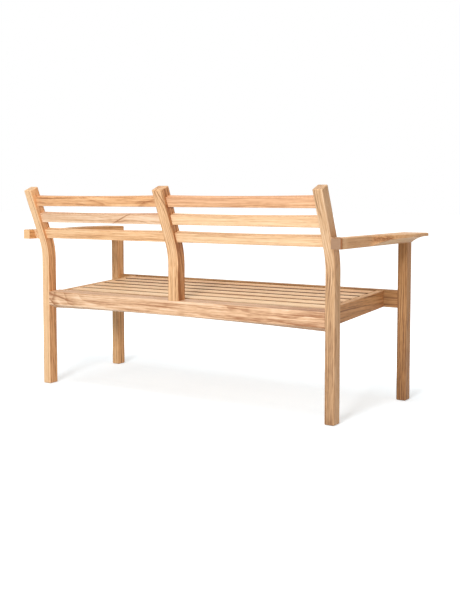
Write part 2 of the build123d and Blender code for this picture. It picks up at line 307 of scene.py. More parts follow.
class Tone(Enum):
    """Colours of a board: its dark lines, its body and its palest bands."""

    GOLDEN = (srgb(172, 116, 68), srgb(230, 181, 132), srgb(243, 206, 162))
    ORANGE = (srgb(160, 100, 54), srgb(221, 166, 115), srgb(236, 191, 144))
    HONEY = (srgb(150, 98, 56), srgb(216, 168, 121), srgb(232, 192, 148))
    AMBER = (srgb(136, 88, 46), srgb(200, 149, 98), srgb(222, 178, 128))
    PINK = (srgb(160, 110, 74), srgb(218, 176, 138), srgb(236, 203, 171))
    ROSE = (srgb(172, 116, 72), srgb(228, 177, 132), srgb(241, 202, 161))
    CREAM = (srgb(184, 134, 90), srgb(235, 194, 150), srgb(246, 217, 180))
    TAN = (srgb(132, 92, 58), srgb(198, 156, 114), srgb(222, 186, 148))
    BROWN = (srgb(104, 64, 31), srgb(164, 115, 67), srgb(192, 144, 95))

    @property
    def dark(self) -> Colour:
        """Colour of the dark lines."""
        return self.value[0]


@dataclass(frozen=True)
class Knot:
    """A swirl in the grain, in the board's own frame.

    Attributes:
        along: Its place along the grain.
        across: Its place across the board.
        through: Its place through the board.
        size: How far it reaches across the grain.
        push: How far it pushes the rings.
    """

    along: float
    across: float
    through: float
    size: float
    push: float


@dataclass(frozen=True)
class VeinOrShading:
    """A dark streak through a board, a pale one where its shade is negative, or a patch of painted shading.

    Attributes:
        along: Its middle, along the grain.
        up: Its middle, through the board.
        width: Half its width.
        reach: Half its length.
        shade: How much darker it is.
        slope: How far it climbs per metre along the grain.
    """

    along: float
    up: float
    width: float
    reach: float
    shade: float
    slope: float = 0.0


@dataclass(frozen=True)
class Bend:
    """The sawn bend of a post, which its grain nearly follows.

    Attributes:
        height: Where it begins, above the floor.
        slope: How far back it leans per metre of height.
        ease: Height over which it comes in.
    """

    height: float
    slope: float
    ease: float


@dataclass(frozen=True)
class Board:
    """How one timber was cut from the tree.

    Attributes:
        node: The timber's node.
        grain: Which way its grain runs.
        tone: Its colours.
        pith: The tree's middle, across and through the board from its own middle.
        seed: What sets its figure apart from other boards'.
        figure: Strength of its figure.
        lift: How much paler than plain it is.
        painted_falloff: How much paler it is painted per metre of grain, but for its flanks: painted light
            falloff.
        side: How much paler its flanks are painted: painted light, and painted shade where negative.
        end: Share of the cap's colour on its sawn ends.
        edge: Share of painted shade on its long edges, for the shade in the gaps between slats.
        cap: Colour of its sawn ends.
        knots: Swirls in its grain.
        veins_and_shading: Streaks through it, and patches of painted light and shade.
        bend: The bend that its grain follows.
    """

    node: str
    grain: Grain
    tone: Tone
    pith: Pair
    seed: float
    figure: float = 1.0
    lift: float = 0.0
    painted_falloff: float = 0.0
    side: float = 0.0
    end: float = 0.7
    edge: float = 0.0
    cap: Colour = srgb(148, 115, 88)
    knots: tuple[Knot, ...] = ()
    veins_and_shading: tuple[VeinOrShading, ...] = ()
    bend: Bend | None = None


@dataclass(frozen=True)
class Markings:
    """What both the colour and the surface of a board follow.

    Attributes:
        place: Coordinates along, across and through the board.
        depth: Distance from the pith.
        line: Dark line that closes each year's ring.
        broad: Broad bands of rings.
        fibre: Short marks along the grain.
        streak: Longer marks along the grain.
        pores: Open pores.
        turned: Faces that look to the sofa's sides.
    """

    place: Value
    depth: Value
    line: Value
    broad: Value
    fibre: Value
    streak: Value
    pores: Value
    turned: Value


@dataclass(frozen=True)
class Teak:
    """Sanded, unoiled teak, as a solid figure of rings round the tree's pith.

    A board's tone picks its colours: 0 is darker than its dark lines, and 1 is its palest band.

    Attributes:
        ring: Thickness of a year's ring.
        uneven: How often that changes per metre.
        late: Part of a year over which its dark line comes up.
        late_power: How late in that part it does.
        close: Part of a year over which the line ends.
        line_level: Strength of a plain line.
        line_change: How much that changes.
        line_rate: How often that changes per metre.
        line_weight: How much darker a line is.
        band: Fine bands of rings per metre.
        band_detail: Finer bands within them.
        band_weight: How much they count.
        broad: Broad bands of rings per metre.
        broad_seed: Multiple of a board's seed that sets them apart.
        broad_weight: How much they count.
        drift: Slow wandering of the rings along the tree, in metres.
        ripple: Quicker wandering of the rings, in metres.
        knot_along: How much a knot's reach is squeezed along the grain.
        wander: Wandering of a streak or patch, in its widths.
        fibre: Short marks along the grain.
        mottle: Blotches between them.
        streak: Longer marks along the grain.
        sweep: Marks as long as the board.
        plain: Tone of a plain board.
        stops: Tones of a board's three colours.
        blush: Colour of the rosier bands.
        blush_range: How deep a broad band is where it starts to blush, and where it does in full.
        blush_share: Share of the blush in it.
        pore: Dashes of the pores.
        pore_range: How strong a dash is where a pore starts to show, and where it does in full.
        pore_early: Share of the pores outside the dark lines.
        pore_share: Share of the dark colour in a pore.
        speckle: Pores of a sawn end.
        painted_flank_tint: What faces that look to the sofa's sides are multiplied by, as painted warm
            light on them.
        painted_gap_shade: Colour of the painted shade on slats' edges, for the shade in the gaps.
        face_start: How squarely a face looks along a direction before it counts.
        painted_shade_start: The same for a slat's edge, where its painted shade starts.
        face_run: How much more squarely it looks where it counts in full.
        relief: Strength of the bump.
        relief_depth: Its depth.
        relief_streak: Share of the streaks in it.
        roughness: Roughness of plain wood.
        roughness_change: How much rougher a pore is, and how much smoother a hard fibre.
        ior: Refraction of the bare wood.
    """

    ring: float = 0.0075
    uneven: float = 40.0
    late: Pair = (0.3, 0.93)
    late_power: float = 2.0
    close: Pair = (0.94, 1.0)
    line_level: float = 0.7
    line_change: float = 1.6
    line_rate: float = 60.0
    line_weight: float = 0.42
    band: float = 150.0
    band_detail: float = 3.0
    band_weight: float = 0.6
    broad: float = 15.0
    broad_seed: float = 2.0
    broad_weight: float = 0.6
    drift: Pattern = Pattern((2.2, 5.0, 5.0), shift=7.0, weight=0.030)
    ripple: Pattern = Pattern((9.0, 40.0, 40.0), shift=5.0, weight=0.0040)
    knot_along: float = 0.45
    wander: Pattern = Pattern((16.0, 30.0, 30.0), shift=11.0, weight=3.0)
    fibre: Pattern = Pattern((30.0, 420.0, 420.0), weight=0.55)
    mottle: Pattern = Pattern((36.0, 190.0, 190.0), shift=6.0, detail=1.0, weight=0.45)
    streak: Pattern = Pattern((4.5, 260.0, 260.0), shift=3.0, weight=1.5)
    sweep: Pattern = Pattern((1.3, 80.0, 80.0), shift=9.0, weight=0.8)
    plain: float = 0.66
    stops: Triple = (0.05, 0.55, 1.0)
    blush: Colour = srgb(216, 164, 126)
    blush_range: Pair = (0.02, 0.3)
    blush_share: float = 0.45
    pore: Pattern = Pattern((38.0, 1300.0, 1300.0), detail=0.0)
    pore_range: Pair = (0.12, 0.26)
    pore_early: float = 0.35
    pore_share: float = 0.35
    speckle: Pattern = Pattern((300.0, 420.0, 420.0), shift=2.0, detail=1.0)
    painted_flank_tint: Colour = (1.1, 0.98, 0.87, 1.0)
    painted_gap_shade: Colour = srgb(78, 36, 4)
    face_start: float = 0.55
    painted_shade_start: float = 0.25
    face_run: float = 0.4
    relief: float = 0.25
    relief_depth: float = 0.0006
    relief_streak: float = 0.4
    roughness: float = 0.56
    roughness_change: float = 0.2
    ior: float = 1.45

    def material(self, board: Board) -> bpy.types.Material:
        """Makes the material of one board.

        Args:
            board: How the board was cut.

        Returns:
            The material.
        """
        made, graph = new_material(f"teak_{board.node}")
        marks = self._markings(graph, board)
        height = marks.fibre + marks.streak * self.relief_streak - marks.pores
        relief = {"Strength": self.relief, "Distance": self.relief_depth, "Height": height}
        inputs = {
            "Base Color": self._colour(graph, board, marks),
            "Roughness": self.roughness + (marks.pores - marks.fibre) * self.roughness_change,
            "IOR": self.ior,
            "Normal": graph.add("ShaderNodeBump", {}, relief),
        }
        surface = graph.add("ShaderNodeBsdfPrincipled", {}, inputs)
        graph.add("ShaderNodeOutputMaterial", {}, {"Surface": surface})
        return made

    def _markings(self, graph: Graph, board: Board) -> Markings:
        """Finds what the board's colour and surface follow.

        Args:
            graph: The material's graph.
            board: How the board was cut.

        Returns:
            The markings.
        """
        place = self._place(graph, board)
        depth = self._depth(graph, place, board)
        line = self._lines(graph, depth)
        pores = self.pore.noise(graph, place, board.seed).rise(*self.pore_range)
        return Markings(
            place=place,
            depth=depth,
            line=line,
            broad=graph.noise_along(depth * self.broad + board.seed * self.broad_seed),
            fibre=self.fibre.noise(graph, place, board.seed),
            streak=self.streak.noise(graph, place, board.seed),
            pores=pores * (self.pore_early + line * (1 - self.pore_early)),
            turned=self._facing(graph, Grain.ALONG_X.way, self.face_start),
        )

    def _colour(self, graph: Graph, board: Board, marks: Markings) -> Value:
        """Colour of the board: pores, sawn ends, painted warm light on flanks and painted shade on edges.

        Args:
            graph: The material's graph.
            board: How the board was cut.
            marks: Its markings.

        Returns:
            The colour.
        """
        stops = list(zip(self.stops, board.tone.value))
        tone = self._tone(graph, board, marks)
        colour = graph.add("ShaderNodeValToRGB", {"stops": stops}, {"Fac": tone})
        rosy = (-marks.broad).rise(*self.blush_range) * self.blush_share
        colour = graph.mix(rosy, colour, self.blush)
        colour = graph.mix(marks.pores * self.pore_share, colour, board.tone.dark)
        # Painted light: faces that look to the sofa's sides are tinted warmer, for the light that falls on
        # them.
        colour = graph.mix(marks.turned, colour, self.painted_flank_tint, "MULTIPLY")
        speckle = self.speckle.noise(graph, marks.place, board.seed)
        sawn = self._facing(graph, board.grain.way, self.face_start) * (board.end + speckle)
        colour = graph.mix(sawn, colour, board.cap)
        # Painted shade: a slat's long edges are darkened, for the shade in the gaps between slats.
        if board.edge:
            shaded = self._facing(graph, Grain.ALONG_Y.way, self.painted_shade_start) * board.edge
            colour = graph.mix(shaded, colour, self.painted_gap_shade)
        return colour

    def _tone(self, graph: Graph, board: Board, marks: Markings) -> Value:
        """Tone of the board from its rings, grain marks and streaks, with painted light and shade.

        Args:
            graph: The material's graph.
            board: How the board was cut.
            marks: Its markings.

        Returns:
            The tone.
        """
        band = graph.noise_along(marks.depth * self.band + board.seed, self.band_detail)
        rings = band * self.band_weight + marks.broad * self.broad_weight - marks.line * self.line_weight
        sweep = self.sweep.noise(graph, marks.place, board.seed)
        mottle = self.mottle.noise(graph, marks.place, board.seed)
        fine = marks.streak * self.streak.weight + sweep * self.sweep.weight
        fine = fine + mottle * self.mottle.weight + marks.fibre * self.fibre.weight
        tone = self.plain + board.lift + (rings + fine) * board.figure
        for vein_or_shading in board.veins_and_shading:
            tone = tone - self._vein_or_shading(graph, marks.place, board, vein_or_shading)
        # Painted light and shade: the tone changes along the grain, but not on the flanks, as light falls
        # off along the board.
        if board.painted_falloff:
            along, _, _ = graph.axes(marks.place)
            tone = tone + along * board.painted_falloff * (1 - marks.turned)
        # Painted light and shade: a positive setting makes the flanks paler, a negative one darker, for the
        # light on them.
        if board.side:
            tone = tone + marks.turned * board.side
        return tone

    @staticmethod
    def _place(graph: Graph, board: Board) -> Value:
        """Coordinates in the board's own frame, straightened where its grain bends.

        Args:
            graph: The material's graph.
            board: How the board was cut.

        Returns:
            The coordinates, along, across and through the board.
        """
        low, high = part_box(board.node)
        middle = (low + high) / 2
        place = graph.add(
            "ShaderNodeMapping",
            {"vector_type": "TEXTURE"},
            {
                "Vector": graph.add("ShaderNodeTexCoord", output="Object"),
                "Location": middle,
                "Rotation": board.grain.value,
            },
        )
        if board.bend is None:
            return place
        along, across, through = graph.axes(place)
        above = along + (middle.z - board.bend.height)
        lean = (above + (above * above + board.bend.ease**2) ** 0.5) * (board.bend.slope / 2)
        return graph.add("ShaderNodeCombineXYZ", {}, {"X": along, "Y": across - lean, "Z": through})

    def _depth(self, graph: Graph, place: Value, board: Board) -> Value:
        """Distance from the pith, as the rings wander along the tree.

        Args:
            graph: The material's graph.
            place: Coordinates in the board's frame.
            board: How the board was cut.

        Returns:
            The distance in metres.
        """
        _, across, through = graph.axes(place)
        across = across - board.pith[0]
        through = through - board.pith[1]
        depth = (across * across + through * through) ** 0.5
        for pattern in (self.drift, self.ripple):
            depth = depth + pattern.noise(graph, place, board.seed) * pattern.weight
        for knot in board.knots:
            near = graph.vector("SUBTRACT", place, (knot.along, knot.across, knot.through))
            near = graph.stretched(near, (self.knot_along / knot.size, 1 / knot.size, 1 / knot.size))
            reach = graph.vector("LENGTH", near, output="Value")
            depth = depth + (reach * reach).fade() * knot.push
        return depth

    def _vein_or_shading(self, graph: Graph, place: Value, board: Board, vein_or_shading: VeinOrShading) -> Value:
        """Shade of one streak or patch of painted shading, which wanders a little and fades at its ends.

        Args:
            graph: The material's graph.
            place: Coordinates in the board's frame.
            board: How the board was cut.
            vein_or_shading: The streak or patch.

        Returns:
            The shade, 0 away from the streak.
        """
        along, _, up = graph.axes(place)
        along = along - vein_or_shading.along
        wander = self.wander.noise(graph, place, board.seed) * (self.wander.weight * vein_or_shading.width)
        off = (up - vein_or_shading.up - along * vein_or_shading.slope + wander) / vein_or_shading.width
        far = along / vein_or_shading.reach
        return (off * off + far * far).fade() * vein_or_shading.shade

    def _lines(self, graph: Graph, depth: Value) -> Value:
        """Dark line that closes each year's ring.

        Args:
            graph: The material's graph.
            depth: Distance from the pith.

        Returns:
            The line, 0 between the lines.
        """
        uneven = depth + graph.noise_along(depth * self.uneven) * self.ring
        year = graph.math("FRACT", uneven / self.ring)
        line = year.rise(*self.late) ** self.late_power * (1 - year.rise(*self.close))
        return line * (self.line_level + graph.noise_along(depth * self.line_rate) * self.line_change)

    def _facing(self, graph: Graph, way: Vector, start: float) -> Value:
        """How far a face looks along a direction, either way.

        Args:
            graph: The material's graph.
            way: The direction.
            start: Share of the direction in the face's normal from which it counts.

        Returns:
            1 on a face that looks along it and 0 on one beside it.
        """
        normal = graph.add("ShaderNodeNewGeometry", output="Normal")
        along = graph.vector("DOT_PRODUCT", normal, way, output="Value")
        return abs(along).rise(start, start + self.face_run)


@dataclass(frozen=True)
class Stainless:
    """Turned stainless steel.

    Attributes:
        colour: Colour of clean steel.
        soiled: Colour of soiled steel.
        marks: Turning marks, by how much rougher they are.
        soil: Patches of soil, by how much rougher they are.
        soil_range: How strong a patch is where it starts to show, and where it does in full.
        roughness: Roughness of plain steel.
    """

    colour: Colour = srgb(196, 196, 192)
    soiled: Colour = srgb(150, 148, 142)
    marks: Pattern = Pattern((2600.0, 2600.0, 900.0), weight=0.2)
    soil: Pattern = Pattern((300.0, 300.0, 300.0), shift=4.0, weight=0.15)
    soil_range: Pair = (0.0, 0.4)
    roughness: float = 0.32

    def material(self) -> bpy.types.Material:
        """Makes the material, with fine turning marks.

        Returns:
            The material.
        """
        made, graph = new_material("stainless")
        place = graph.add("ShaderNodeTexCoord", output="Object")
        marks = self.marks.noise(graph, place)
        soil = self.soil.noise(graph, place)
        inputs = {
            "Base Color": graph.mix(soil.rise(*self.soil_range), self.colour, self.soiled),
            "Metallic": 1.0,
            "Roughness": self.roughness + marks * self.marks.weight + soil * self.soil.weight,
        }
        surface = graph.add("ShaderNodeBsdfPrincipled", {}, inputs)
        graph.add("ShaderNodeOutputMaterial", {}, {"Surface": surface})
        return made


@dataclass(frozen=True)
class Nylon:
    """Moulded nylon with a faint grain.

    Attributes:
        colour: Colour of clean nylon.
        dusty: Colour of dust on it.
        grain: The mould's grain, by how much rougher it is.
        dust: Patches of dust, by the share of its colour.
        dust_range: How strong a patch is where it starts to show, and where it does in full.
        roughness: Roughness of plain nylon.
        relief: Strength of the bump.
        relief_depth: Its depth.
    """

    colour: Colour = srgb(44, 42, 40)
    dusty: Colour = srgb(96, 90, 84)
    grain: Pattern = Pattern((1800.0, 1800.0, 1800.0), weight=0.3)
    dust: Pattern = Pattern((160.0, 160.0, 160.0), shift=2.0, weight=0.4)
    dust_range: Pair = (0.0, 0.35)
    roughness: float = 0.6
    relief: float = 0.2
    relief_depth: float = 0.0002

    def material(self) -> bpy.types.Material:
        """Makes the material, with dust in its grain.

        Returns:
            The material.
        """
        made, graph = new_material("nylon")
        place = graph.add("ShaderNodeTexCoord", output="Object")
        grain = self.grain.noise(graph, place)
        dust = self.dust.noise(graph, place).rise(*self.dust_range) * self.dust.weight
        relief = {"Strength": self.relief, "Distance": self.relief_depth, "Height": grain}
        inputs = {
            "Base Color": graph.mix(dust, self.colour, self.dusty),
            "Roughness": self.roughness + grain * self.grain.weight,
            "Normal": graph.add("ShaderNodeBump", {}, relief),
        }
        surface = graph.add("ShaderNodeBsdfPrincipled", {}, inputs)
        graph.add("ShaderNodeOutputMaterial", {}, {"Surface": surface})
        return made


@dataclass
class Joinery:
    """Timbers of one sub-assembly, each dressed as its own board.

    Attributes:
        finish: What the boards are made of.
        arris: How far a sharp arris is rounded.
        arris_steps: Faces round an arris.
        weld: Distance within which loose corners are joined.
        flat: Angle within which triangles make one flat face.
        sharp: Angle from which an arris is rounded.
        face_weight: How much the larger faces lead the shading.
    """

    finish: Teak = field(default_factory=Teak)
    arris: float = 0.0009
    arris_steps: int = 2
    weld: float = 0.00001
    flat: float = math.radians(0.3)
    sharp: float = math.radians(35)
    face_weight: int = 90

    def boards(self) -> list[Board]:
        """The boards that the timbers were cut from."""
        raise NotImplementedError

    def dress(self) -> None:
        """Gives each timber its softened arrises and its own cut of teak."""
        for board in self.boards():
            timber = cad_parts[board.node]
            self._soften(timber)
            timber.data.materials.clear()
            timber.data.materials.append(self.finish.material(board))
            LOG.info("%s: %s", type(self).__name__.lower(), board.node)

    def _soften(self, timber: bpy.types.Object) -> None:
        """Adds the modifiers that round the sharp arrises.

        Args:
            timber: The timber's object.
        """
        timber.modifiers.new("joined", "WELD").merge_threshold = self.weld
        planed = timber.modifiers.new("planed", "DECIMATE")
        planed.decimate_type = "DISSOLVE"
        planed.angle_limit = self.flat
        sanded = timber.modifiers.new("sanded", "BEVEL")
        sanded.width = self.arris
        sanded.segments = self.arris_steps
        sanded.limit_method = "ANGLE"
        sanded.angle_limit = self.sharp
        shaded = timber.modifiers.new("shaded", "WEIGHTED_NORMAL")
        shaded.weight = self.face_weight


@dataclass
class Back(Joinery):
    """The three bent posts and the hollowed slats between them."""

    bend: Bend = Bend(height=0.51, slope=0.39, ease=0.06)

    def boards(self) -> list[Board]:
        """The posts' boards, then the slats' from the top of each bay."""
        return self._posts() + self._slats()

    def _posts(self) -> list[Board]:
        """The posts' boards, from the left.

        Returns:
            The boards.
        """
        grain, bend = Grain.UPRIGHT, self.bend
        lines = (
            VeinOrShading(along=0.24, up=0.009, width=0.0014, reach=0.12, shade=0.6, slope=-0.01),
            VeinOrShading(along=-0.02, up=-0.007, width=0.0016, reach=0.15, shade=0.3),
        )
        stripes = (
            VeinOrShading(along=0.166, up=0.0115, width=0.002, reach=0.04, shade=0.9, slope=-0.44),
            VeinOrShading(along=0.15, up=0.003, width=0.0014, reach=0.035, shade=0.6, slope=-0.3),
            VeinOrShading(along=0.012, up=0.0225, width=0.003, reach=0.03, shade=0.22),
        )
        patches = (
            VeinOrShading(along=0.293, up=-0.0055, width=0.003, reach=0.045, shade=0.3, slope=-0.18),
            VeinOrShading(along=0.083, up=0.006, width=0.004, reach=0.03, shade=-0.25, slope=-0.1),
            VeinOrShading(along=0.34, up=-0.005, width=0.013, reach=0.07, shade=0.24),
            # Painted light on the flank near the top of the post.
            VeinOrShading(along=0.33, up=0.018, width=0.003, reach=0.08, shade=-0.2),
            VeinOrShading(along=0.19, up=-0.004, width=0.013, reach=0.05, shade=-0.32),
            VeinOrShading(along=0.055, up=-0.004, width=0.014, reach=0.05, shade=0.18),
            # Painted light: the foot is made paler, easing the painted falloff there.
            VeinOrShading(along=-0.32, up=0.0, width=0.06, reach=0.07, shade=-0.15),
        )
        swirl = Knot(along=0.1, across=-0.035, through=0.012, size=0.03, push=0.01)
        return [
            Board(
                "left_back_post", grain, Tone.HONEY, pith=(-0.03, 0.11), seed=1.3,
                figure=0.9, lift=0.3, side=-0.44, end=0.2, veins_and_shading=lines, bend=bend,
            ),
            Board(
                "centre_back_post", grain, Tone.HONEY, pith=(-0.02, 0.1), seed=4.1,
                figure=0.9, lift=-0.08, side=-0.25, end=0.2, veins_and_shading=stripes, bend=bend,
            ),
            Board(
                "right_back_post", grain, Tone.TAN, pith=(-0.02, 0.1), seed=8.6, figure=0.8,
                lift=-0.17, painted_falloff=0.8, side=0.25, end=0.2, knots=(swirl,), veins_and_shading=patches, bend=bend,
            ),
        ]

    @staticmethod
    def _slats() -> list[Board]:
        """The slats' boards, from the top of the left bay, then of the right.

        Returns:
            The boards.
        """
        grain = Grain.ALONG_X
        arcs = Knot(along=-0.1, across=0.01, through=-0.035, size=0.06, push=0.012)
        flaw = Knot(along=-0.16, across=0.0, through=-0.03, size=0.035, push=0.016)
        low = VeinOrShading(along=0.03, up=-0.0145, width=0.003, reach=0.09, shade=0.3, slope=0.027)
        line = VeinOrShading(along=-0.108, up=-0.001, width=0.0018, reach=0.045, shade=0.8, slope=-0.386)
        glow = VeinOrShading(along=-0.2, up=0.0, width=0.012, reach=0.06, shade=-0.15)
        return [
            Board(
                "left_back_slat_1", grain, Tone.ORANGE, pith=(-0.08, 0.01), seed=2.2,
                lift=-0.03, knots=(arcs,), veins_and_shading=(low,),
            ),
            Board(
                "left_back_slat_2", grain, Tone.PINK, pith=(-0.06, 0.07), seed=5.7,
                lift=0.06, knots=(flaw,), veins_and_shading=(line, glow),
            ),
            Board("left_back_slat_3", grain, Tone.GOLDEN, pith=(-0.03, 0.09), seed=9.4),
            Board(
                "right_back_slat_1", grain, Tone.ROSE, pith=(-0.05, 0.08), seed=12.5,
                figure=0.8, lift=-0.1,
            ),
            Board(
                "right_back_slat_2", grain, Tone.CREAM, pith=(-0.02, 0.1), seed=15.1,
                figure=0.6, lift=-0.14,
            ),
            Board(
                "right_back_slat_3", grain, Tone.CREAM, pith=(-0.06, 0.06), seed=18.3,
                figure=0.65, lift=-0.2,
            ),
        ]


@dataclass
class Seat(Joinery):
    """The rails, the cleats, the bearer and the seat slats.

    Attributes:
        tones: The slats' colours, from the rear.
        lifts: How much paler than plain each slat is.
        edges: How much painted shade each slat's edges carry, for the shade in the gaps.
        slat_pith: The tree's middle from a slat's, before its step.
        pith_step: How far it moves across from slat to slat.
        slat_seed: What sets a slat's figure apart, before its step.
        seed_step: How much that changes from slat to slat.
    """

    tones: tuple[Tone, ...] = (Tone.CREAM,) * 5 + (Tone.GOLDEN,)
    lifts: tuple[float, ...] = (0.06, 0.04, -0.06, -0.1, -0.2, -0.2)
    edges: tuple[float, ...] = (0.4, 0.65, 0.75, 0.9, 1.0, 1.0)
    slat_pith: Pair = (0.05, 0.08)
    pith_step: float = -0.02
    slat_seed: float = 42.0
    seed_step: float = 3.1

    def boards(self) -> list[Board]:
        """The rails' boards, then what carries the slats, then the slats' from the rear."""
        return self._rails() + self._slats()

    @staticmethod
    def _rails() -> list[Board]:
        """The rails' boards, then those of what carries the slats.

        Returns:
            The boards.
        """
        level, deep = Grain.ALONG_X, Grain.ALONG_Y
        swirls = (
            Knot(along=0.72, across=0.0, through=0.05, size=0.12, push=0.03),
            Knot(along=-0.42, across=0.01, through=-0.03, size=0.025, push=0.012),
        )
        marks = (
            VeinOrShading(along=0.535, up=0.012, width=0.003, reach=0.05, shade=0.8, slope=0.217),
            VeinOrShading(along=0.569, up=-0.0127, width=0.0035, reach=0.02, shade=0.7, slope=0.667),
            VeinOrShading(along=0.6, up=0.024, width=0.005, reach=0.025, shade=0.7, slope=0.2),
            VeinOrShading(along=0.53, up=-0.012, width=0.006, reach=0.03, shade=-0.35, slope=0.53),
            VeinOrShading(along=0.36, up=-0.016, width=0.008, reach=0.13, shade=-0.28),
            VeinOrShading(along=-0.35, up=-0.014, width=0.006, reach=0.17, shade=0.3),
            # Painted shade: the rail's right end is darkened, where the lamp lights it more strongly.
            VeinOrShading(along=-0.54, up=0.0, width=0.1, reach=0.12, shade=0.22),
        )
        return [
            Board(
                "rear_seat_rail", level, Tone.PINK, pith=(-0.12, 0.03), seed=21.2,
                figure=1.1, lift=-0.13, painted_falloff=0.1, knots=swirls, veins_and_shading=marks,
            ),
            Board("front_seat_rail", level, Tone.BROWN, pith=(-0.08, 0.06), seed=24.6),
            Board("left_side_rail", deep, Tone.AMBER, pith=(0.09, 0.03), seed=27.3),
            Board("right_side_rail", deep, Tone.AMBER, pith=(-0.09, 0.04), seed=30.8),
            Board("left_slat_cleat", deep, Tone.TAN, pith=(0.05, 0.05), seed=33.2),
            Board("right_slat_cleat", deep, Tone.TAN, pith=(0.06, 0.03), seed=36.9),
            Board("centre_bearer", deep, Tone.TAN, pith=(0.07, 0.04), seed=39.5),
        ]

    def _slats(self) -> list[Board]:
        """The slats' boards, from the rear.

        Returns:
            The boards.
        """
        across, through = self.slat_pith
        return [
            Board(
                f"seat_slat_{number}", Grain.ALONG_X, tone,
                pith=(across + self.pith_step * number, through),
                seed=self.slat_seed + self.seed_step * number,
                lift=lift, edge=edge,
            )
            for number, (tone, lift, edge) in enumerate(zip(self.tones, self.lifts, self.edges), 1)
        ]


@dataclass
class Arms(Joinery):
    """The armrests, their front legs, spacers and loose tenons."""

    pale_cap: Colour = srgb(232, 188, 138)

    def boards(self) -> list[Board]:
        """The legs' boards, then the armrests', then what joins them to the posts.

        Returns:
            The boards.
        """
        up, deep = Grain.UPRIGHT, Grain.ALONG_Y
        flare = (
            VeinOrShading(along=0.2725, up=0.0, width=0.06, reach=0.006, shade=0.9),
            VeinOrShading(along=0.247, up=0.0, width=0.05, reach=0.017, shade=-0.4),
            VeinOrShading(along=0.02, up=0.006, width=0.009, reach=0.05, shade=0.5, slope=-0.06),
            # Painted light: the cove under the wing is made paler, for light bounced up from the floor.
            VeinOrShading(along=-0.08, up=-0.005, width=0.011, reach=0.12, shade=-0.5, slope=-0.05),
        )
        return [
            Board(
                "left_front_leg", up, Tone.AMBER, pith=(0.02, 0.09), seed=64.1,
                figure=1.5, lift=0.22, painted_falloff=-0.6, side=0.06,
            ),
            Board(
                "right_front_leg", up, Tone.BROWN, pith=(0.01, -0.08), seed=67.7,
                lift=-0.14, painted_falloff=0.8, side=0.36,
            ),
            Board(
                "left_armrest", deep, Tone.AMBER, pith=(0.02, -0.11), seed=70.4,
                end=0.85, cap=self.pale_cap,
            ),
            Board(
                "right_armrest", deep, Tone.HONEY, pith=(-0.02, -0.1), seed=73.9,
                figure=0.6, lift=-0.06, end=0.9, veins_and_shading=flare,
            ),
            Board("left_arm_spacer", up, Tone.CREAM, pith=(0.06, 0.05), seed=76.2),
            Board("right_arm_spacer", up, Tone.TAN, pith=(0.05, 0.06), seed=79.8),
            Board("arm_tenons", Grain.ALONG_X, Tone.TAN, pith=(0.05, 0.05), seed=82.4),
        ]


